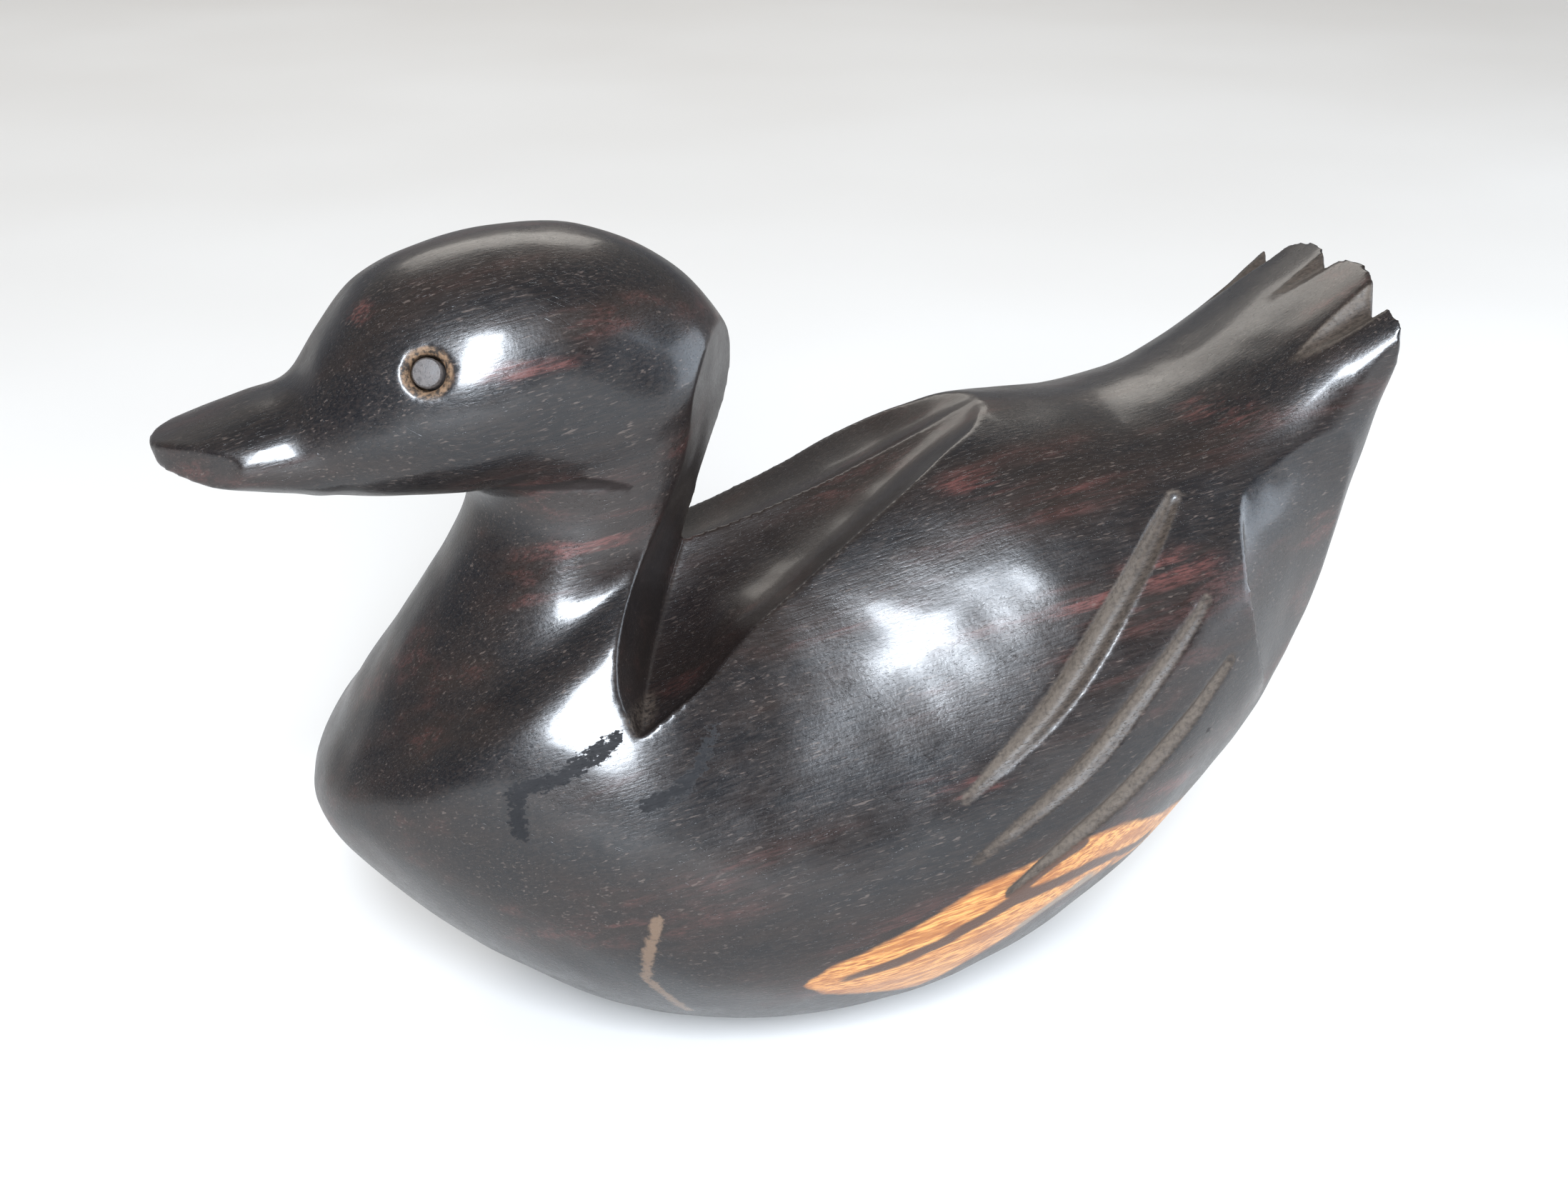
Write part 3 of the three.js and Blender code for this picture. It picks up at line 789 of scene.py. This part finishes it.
def peg_face_height(share):
    """The height of a peg's end at a share of its radius: a slight crown that rolls over at the rim."""
    rolled = max(0, share - PEG_ROUND_FROM) / (1 - PEG_ROUND_FROM)
    return -PEG_DOME * share * share - PEG_EDGE * rolled * rolled


def peg_profile():
    face = [(PEG_RADIUS * share, peg_face_height(share)) for share in np.linspace(1, PEG_CENTRE, DOME_RINGS)]
    return [(PEG_RADIUS - PEG_EDGE, -PEG_LENGTH), (PEG_RADIUS, -PEG_LENGTH + PEG_EDGE), *face]


PEG_NODES = ("eye_peg_left", "eye_peg_right")
pegs = {name: turned(name + "_face", peg_profile(), side) for side, name in zip(SIDES, PEG_NODES)}
for name, peg in pegs.items():
    peg.data.polygons.foreach_set("use_smooth", [True] * len(peg.data.polygons))
    peg.data.set_sharp_from_angle(angle=PEG_SHARP)
    print(name, "faces:", len(peg.data.polygons))

# %% [markdown]
# ## Finishes
# Ebony is nearly black, but not evenly: brown and red-brown streaks run with the grain, pores show as short
# pale flecks and the hand polish is patchy. All of it comes from noise that is stretched along the grain.
# Noise is worked out in space and not on the surface, so the figure runs through the block as in real wood.

# %% Small helpers for node finishes


class Finish:
    """A material under construction: nodes are added by kind, with their inputs by name."""

    def __init__(self, name):
        self.material = bpy.data.materials.new(name)
        self.material.use_nodes = True
        self.nodes = self.material.node_tree.nodes
        self.links = self.material.node_tree.links
        self.nodes.clear()
        self.shader = self.nodes.new("ShaderNodeBsdfPrincipled")
        output = self.nodes.new("ShaderNodeOutputMaterial")
        self.links.new(self.shader.outputs[0], output.inputs["Surface"])
        self.place = self.nodes.new("ShaderNodeTexCoord").outputs["Object"]

    def put(self, socket, value):
        if isinstance(value, bpy.types.NodeSocket):
            self.links.new(value, socket)
        else:
            socket.default_value = value

    def shade(self, **inputs):
        for name, value in inputs.items():
            self.put(self.shader.inputs[name.replace("_", " ")], value)

    def math(self, kind, first, second=0.5, third=0.5):
        node = self.nodes.new("ShaderNodeMath")
        node.operation = kind
        for socket, value in zip(node.inputs, (first, second, third)):
            self.put(socket, value)
        return node.outputs[0]

    def stretch(self, scale, tilt=0.0, turn=0.0):
        """Space in millimetres times scale, turned so that its first axis runs with the grain."""
        node = self.nodes.new("ShaderNodeMapping")
        self.put(node.inputs["Vector"], self.place)
        node.inputs["Rotation"].default_value = (0.0, math.radians(tilt), math.radians(turn))
        turned_place = node.outputs[0]
        node = self.nodes.new("ShaderNodeVectorMath")
        node.operation = "MULTIPLY"
        self.put(node.inputs[0], turned_place)
        node.inputs[1].default_value = [s / MM for s in scale]
        return node.outputs[0]

    def noise(self, scale, detail=3.0, rough=0.55, tilt=0.0, turn=0.0, bend=0.0):
        node = self.nodes.new("ShaderNodeTexNoise")
        self.put(node.inputs["Vector"], self.stretch(scale, tilt, turn))
        node.inputs["Scale"].default_value = 1.0
        node.inputs["Detail"].default_value = detail
        node.inputs["Roughness"].default_value = rough
        node.inputs["Distortion"].default_value = bend
        return node.outputs["Fac"]

    def share(self, value, zero_at, one_at, low=0.0, high=1.0):
        """Value as a smooth share between two limits."""
        node = self.nodes.new("ShaderNodeMapRange")
        node.interpolation_type = "SMOOTHSTEP"
        for name, given in (("From Min", zero_at), ("From Max", one_at), ("To Min", low), ("To Max", high)):
            node.inputs[name].default_value = given
        self.put(node.inputs["Value"], value)
        return node.outputs[0]

    def mix(self, share, first, second):
        node = self.nodes.new("ShaderNodeMix")
        node.data_type = "RGBA"
        self.put(node.inputs["Factor"], share)
        for socket, value in ((node.inputs["A"], first), (node.inputs["B"], second)):
            self.put(socket, value if isinstance(value, bpy.types.NodeSocket) else (*value, 1.0))
        return node.outputs["Result"]

    def marked(self, name):
        node = self.nodes.new("ShaderNodeAttribute")
        node.attribute_name = name
        return node.outputs["Fac"]

    def glancing(self):
        """0 where the surface is seen square on, and nearly 1 along its outline."""
        node = self.nodes.new("ShaderNodeLayerWeight")
        return node.outputs["Facing"]

    def bump(self, height, depth):
        node = self.nodes.new("ShaderNodeBump")
        node.inputs["Distance"].default_value = depth * MM
        self.put(node.inputs["Height"], height)
        return node.outputs[0]

# %% [markdown]
# ## Ebony, rubbed and oiled
# The dark finish has two layers of shine: a broad one from the fine scratches of rubbing, and a thin tighter
# one from oil and handling. The marks on the surface then take over where the wood is raw, pale or stained,
# and they paint a glint along each gouge floor and painted shade into the jaw line and the slit.
# A single dark gloss would look like plastic, so every layer is broken up by its own grain.

# %% Mix the dark wood
GRAIN_TILT = 10.0
BLACK = (0.0040, 0.0038, 0.0050)
BROWN_BLACK = (0.012, 0.0075, 0.0062)
FIBRE_BROWN = (0.020, 0.014, 0.012)
RED_BROWN = (0.085, 0.030, 0.026)
PALE_FLECK = (0.13, 0.10, 0.085)
RAW_DARK = (0.024, 0.018, 0.014)
RAW_LIGHT = (0.060, 0.045, 0.035)
RAW_BED_AND_GLINT = (0.105, 0.085, 0.068)
RING_TAN = (0.20, 0.125, 0.075)
KNIFE_SHADE = (0.010, 0.006, 0.005)
SAP_LIGHT = (0.66, 0.31, 0.090)
SAP_DEEP = (0.26, 0.088, 0.024)
SAP_BROWN = (0.060, 0.027, 0.016)
SAP_GREY = (0.20, 0.155, 0.115)
SCAR_TAN = (0.125, 0.080, 0.052)
STAIN_BLACK = (0.0030, 0.0030, 0.0045)
PEG_DARK = (0.055, 0.048, 0.046)
PEG_LIGHT = (0.10, 0.088, 0.084)
PEG_PIT = (0.02, 0.015, 0.012)


def dark_wood():
    wood = Finish("rubbed_ebony")
    grain = {"tilt": GRAIN_TILT}
    broad = wood.noise((0.018, 0.09, 0.12), detail=3, **grain)
    streak = wood.noise((0.045, 0.42, 0.50), detail=4, rough=0.6, bend=0.4, **grain)
    fibre = wood.noise((0.30, 3.2, 3.2), detail=3, rough=0.6, **grain)
    dash = wood.noise((0.55, 3.0, 3.0), detail=1, **grain)
    pore = wood.noise((0.80, 7.0, 7.0), detail=1, **grain)
    blotch = wood.noise((0.20, 0.20, 0.20), detail=6, rough=0.65)
    crumb = wood.noise((1.6, 1.6, 1.6), detail=3, rough=0.6)
    scratch = wood.noise((0.10, 9.0, 2.5), detail=1, tilt=-32, turn=18)

    color = wood.mix(wood.share(broad, 0.38, 0.62), BLACK, BROWN_BLACK)
    color = wood.mix(wood.share(fibre, 0.42, 0.66, 0.0, 0.55), color, FIBRE_BROWN)
    warm = wood.math("ADD", wood.share(broad, 0.50, 0.68, 0.0, 0.6), wood.marked("warm_place"))
    red_place = wood.math("MULTIPLY", warm, wood.share(streak, 0.42, 0.62))
    red_place = wood.math("MULTIPLY", red_place, wood.share(fibre, 0.38, 0.62, 0.25, 1.0))
    color = wood.mix(wood.math("MINIMUM", red_place, 1.0), color, RED_BROWN)
    fleck = wood.math("MULTIPLY", wood.share(dash, 0.62, 0.74), wood.share(blotch, 0.36, 0.60))
    color = wood.mix(wood.math("MULTIPLY", fleck, 0.45), color, PALE_FLECK)

    stain_mark = wood.math("MULTIPLY", wood.marked("stain"), 0.5)
    stain = wood.math("ADD", stain_mark, wood.math("MULTIPLY", dash, 0.5))
    stain = wood.share(wood.math("ADD", stain, wood.math("MULTIPLY", crumb, 0.6)), 0.78, 0.92)
    color = wood.mix(stain, color, STAIN_BLACK)
    scar = wood.math("ADD", wood.marked("scar"), wood.math("MULTIPLY", wood.math("ADD", crumb, blotch), 0.8))
    color = wood.mix(wood.share(scar, 1.10, 1.60), color, SCAR_TAN)

    hollow = wood.marked("hollow")
    color = wood.mix(wood.math("MULTIPLY", hollow, 0.45), color, BROWN_BLACK)

    wander = wood.math("ADD", wood.math("MULTIPLY", streak, 0.55), wood.math("MULTIPLY", blotch, 0.25))
    sap = wood.share(wood.math("ADD", wood.marked("sapwood"), wander), 0.80, 0.98)
    sap_color = wood.mix(wood.share(fibre, 0.36, 0.66), SAP_LIGHT, SAP_DEEP)
    sap_color = wood.mix(wood.share(streak, 0.46, 0.62, 0.0, 0.8), sap_color, SAP_DEEP)
    sap_color = wood.mix(wood.marked("sapwood_grey"), sap_color, SAP_GREY)
    sap_line = wood.share(wood.math("ADD", wood.marked("sapwood_line"), wander), 0.72, 1.12)
    sap_color = wood.mix(sap_line, sap_color, SAP_BROWN)
    sap_edge = wood.share(wood.math("ADD", wood.marked("sapwood"), wander), 0.80, 1.20)
    sap_color = wood.mix(sap_edge, SAP_BROWN, sap_color)
    color = wood.mix(sap, color, sap_color)

    raw_cut = wood.marked("raw_cut")
    raw_corner = wood.math("MULTIPLY", wood.marked("raw_corner"), wood.share(crumb, 0.35, 0.55, 0.2, 0.8))
    raw = wood.math("MAXIMUM", raw_cut, raw_corner)
    raw_color = wood.mix(wood.share(wood.math("ADD", fibre, crumb), 0.70, 1.30), RAW_DARK, RAW_LIGHT)
    # Lighter brown-grey on the gouge floor: raw wood tone together with a painted glint along the middle of
    # each channel.
    bed_glint = wood.math("MULTIPLY", wood.marked("gouge_bed_glint"), wood.share(crumb, 0.25, 0.65, 0.3, 0.8))
    raw_color = wood.mix(bed_glint, raw_color, RAW_BED_AND_GLINT)
    color = wood.mix(raw, color, raw_color)
    ring = wood.marked("eye_ring")
    color = wood.mix(ring, color, wood.mix(wood.share(crumb, 0.35, 0.65), RAW_DARK, RING_TAN))
    # The jaw line and the slit are painted near-black: painted shade inside these cut lines, which are also
    # made dull below.
    knife = wood.math("MAXIMUM", wood.marked("knife_line"), wood.marked("slit"))
    color = wood.mix(knife, color, KNIFE_SHADE)
    raw = wood.math("MAXIMUM", raw, wood.math("MAXIMUM", ring, knife))

    patchy = wood.math("ADD", wood.math("MULTIPLY", blotch, 0.30), wood.math("MULTIPLY", fibre, 0.22))
    roughness = wood.math("ADD", patchy, 0.06)
    dull = wood.math("MAXIMUM", knife, stain)
    roughness = wood.math("ADD", roughness, wood.math("MULTIPLY", dull, 0.40))
    roughness = wood.math("ADD", roughness, wood.math("MULTIPLY", hollow, 0.06))
    roughness = wood.math("ADD", roughness, wood.math("MULTIPLY", raw, 0.18))
    coat = wood.share(wood.math("MAXIMUM", raw, dull), 0.0, 0.6, 0.50, 0.0)
    coat = wood.math("MULTIPLY", coat, wood.share(wood.glancing(), 0.55, 0.95, 1.0, 0.0))

    height = wood.math("MULTIPLY", fibre, 0.6)
    height = wood.math("SUBTRACT", height, wood.share(pore, 0.64, 0.74, 0.0, 0.5))
    height = wood.math("ADD", height, wood.math("MULTIPLY", crumb, 0.5))
    height = wood.math("SUBTRACT", height, wood.share(scratch, 0.70, 0.76, 0.0, 0.5))
    height = wood.math("SUBTRACT", height, wood.math("MULTIPLY", wood.marked("slit"), 3.0))
    normal = wood.bump(height, 0.055)
    wood.shade(Base_Color=color, Roughness=roughness, Coat_Weight=coat, Normal=normal)
    wood.shade(Coat_Roughness=0.15, IOR=1.44)
    return wood.material


def peg_wood():
    wood = Finish("dull_peg_end")
    crumb = wood.noise((2.2, 2.2, 2.2), detail=4)
    spot = wood.noise((5.0, 5.0, 5.0), detail=2)
    color = wood.mix(wood.share(crumb, 0.35, 0.65), PEG_DARK, PEG_LIGHT)
    color = wood.mix(wood.share(spot, 0.60, 0.72), color, PEG_PIT)
    wood.shade(Base_Color=color, Roughness=wood.share(crumb, 0.2, 0.8, 0.45, 0.65), IOR=1.5)
    wood.shade(Normal=wood.bump(wood.math("ADD", crumb, spot), 0.03))
    return wood.material


block.name = "duck_body"
block.data.materials.clear()
block.data.materials.append(dark_wood())
peg_finish = peg_wood()
for peg in pegs.values():
    peg.data.materials.append(peg_finish)
print("finishes:", [m.name for m in bpy.data.materials if m.users])

# %% [markdown]
# ## Floor and light
# Dark polish shows its surroundings more than its own colour. So the duck stands in a wide dish, pale on the
# floor and darker up its wall, which keeps the outline of the wood from washing out. One tall soft lamp in
# front and above gives the long highlights. A weak one low at the tail and another behind lift the far sides.

# %% Make the floor
DISH_FLAT = 1.15
DISH_RADIUS = 1.9
DISH_HEIGHT = 0.9
WALL_STARTS = 0.02
WALL_FULL = 0.30
DISH_RINGS = 14
DISH_SIDES = 96
FLOOR_WARM = (0.82, 0.80, 0.77)
FLOOR_PALE = (0.86, 0.845, 0.82)
WALL_GREY = (0.30, 0.30, 0.31)


def dish_profile():
    turn = np.linspace(0, math.pi / 2, DISH_RINGS)
    reach = DISH_FLAT + (DISH_RADIUS - DISH_FLAT) * np.sin(turn)
    return [(DISH_FLAT * 0.5, 0.0), *zip(reach, DISH_HEIGHT * (1 - np.cos(turn)))]


def pale_floor():
    cloth = Finish("pale_floor")
    cloud = cloth.noise((0.004, 0.004, 0.004), detail=2)
    floor_color = cloth.mix(cloth.share(cloud, 0.3, 0.7), FLOOR_WARM, FLOOR_PALE)
    split = cloth.nodes.new("ShaderNodeSeparateXYZ")
    cloth.put(split.inputs["Vector"], cloth.place)
    wall = cloth.share(split.outputs["Z"], WALL_STARTS, WALL_FULL)
    cloth.shade(Base_Color=cloth.mix(wall, floor_color, WALL_GREY))
    cloth.shade(Roughness=cloth.share(cloud, 0.3, 0.7, 0.85, 0.95))
    return cloth.material


def floor_dish():
    angle = np.arange(DISH_SIDES) * 2 * math.pi / DISH_SIDES
    rings = [[(r * math.cos(a), r * math.sin(a), h) for a in angle] for r, h in dish_profile()]
    mesh = bpy.data.meshes.new("floor_dish")
    work = bmesh.new()
    rows = [[work.verts.new(p) for p in ring] for ring in rings]
    work.faces.new(rows[0])
    for lower, upper in zip(rows, rows[1:]):
        for i in range(DISH_SIDES):
            j = (i + 1) % DISH_SIDES
            work.faces.new((lower[j], lower[i], upper[i], upper[j]))
    for face in work.faces:
        face.smooth = True
    work.to_mesh(mesh)
    work.free()
    mesh.materials.append(pale_floor())
    return link(bpy.data.objects.new("floor_dish", mesh))


floor = floor_dish()
print("floor dish:", len(floor.data.polygons), "faces")

# %% Set the lamps
# name, azimuth, elevation, distance, width, height, power, colour
LAMPS = [
    ("front_softbox", -15, 33, 1.40, 0.32, 0.76, 43.0, (0.84, 0.91, 1.0)),
    ("tail_softbox", 74, 4, 0.80, 0.60, 0.60, 5.0, (0.78, 0.88, 1.0)),
    ("back_softbox", 172, 42, 1.50, 0.90, 0.50, 4.0, (1.0, 0.95, 0.88)),
]
SKY_COLOR = (1.0, 0.97, 0.93, 1.0)
SKY_STRENGTH = 0.34


def soft_lamp(name, azimuth, elevation, distance, width, height, power, color):
    lamp = bpy.data.lights.new(name, "AREA")
    lamp.shape = "RECTANGLE"
    lamp.size = width
    lamp.size_y = height
    lamp.energy = power
    lamp.color = color
    thing = link(bpy.data.objects.new(name, lamp))
    place = AIM + direction(math.radians(azimuth), math.radians(elevation)) * distance
    point_at(thing, place, AIM)
    thing.visible_camera = False
    return thing


for lamp_row in LAMPS:
    soft_lamp(*lamp_row)
room = bpy.data.worlds.new("pale_room")
room.use_nodes = True
sky = room.node_tree.nodes["Background"]
sky.inputs["Color"].default_value = SKY_COLOR
sky.inputs["Strength"].default_value = SKY_STRENGTH
bpy.context.scene.world = room
bpy.context.scene.view_settings.view_transform = "Standard"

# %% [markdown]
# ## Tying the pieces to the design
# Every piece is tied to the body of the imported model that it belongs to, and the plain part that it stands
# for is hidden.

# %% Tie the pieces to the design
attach(block, "root")
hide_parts("duck_carving")
for name, peg in pegs.items():
    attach(peg, "root")
    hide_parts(name)
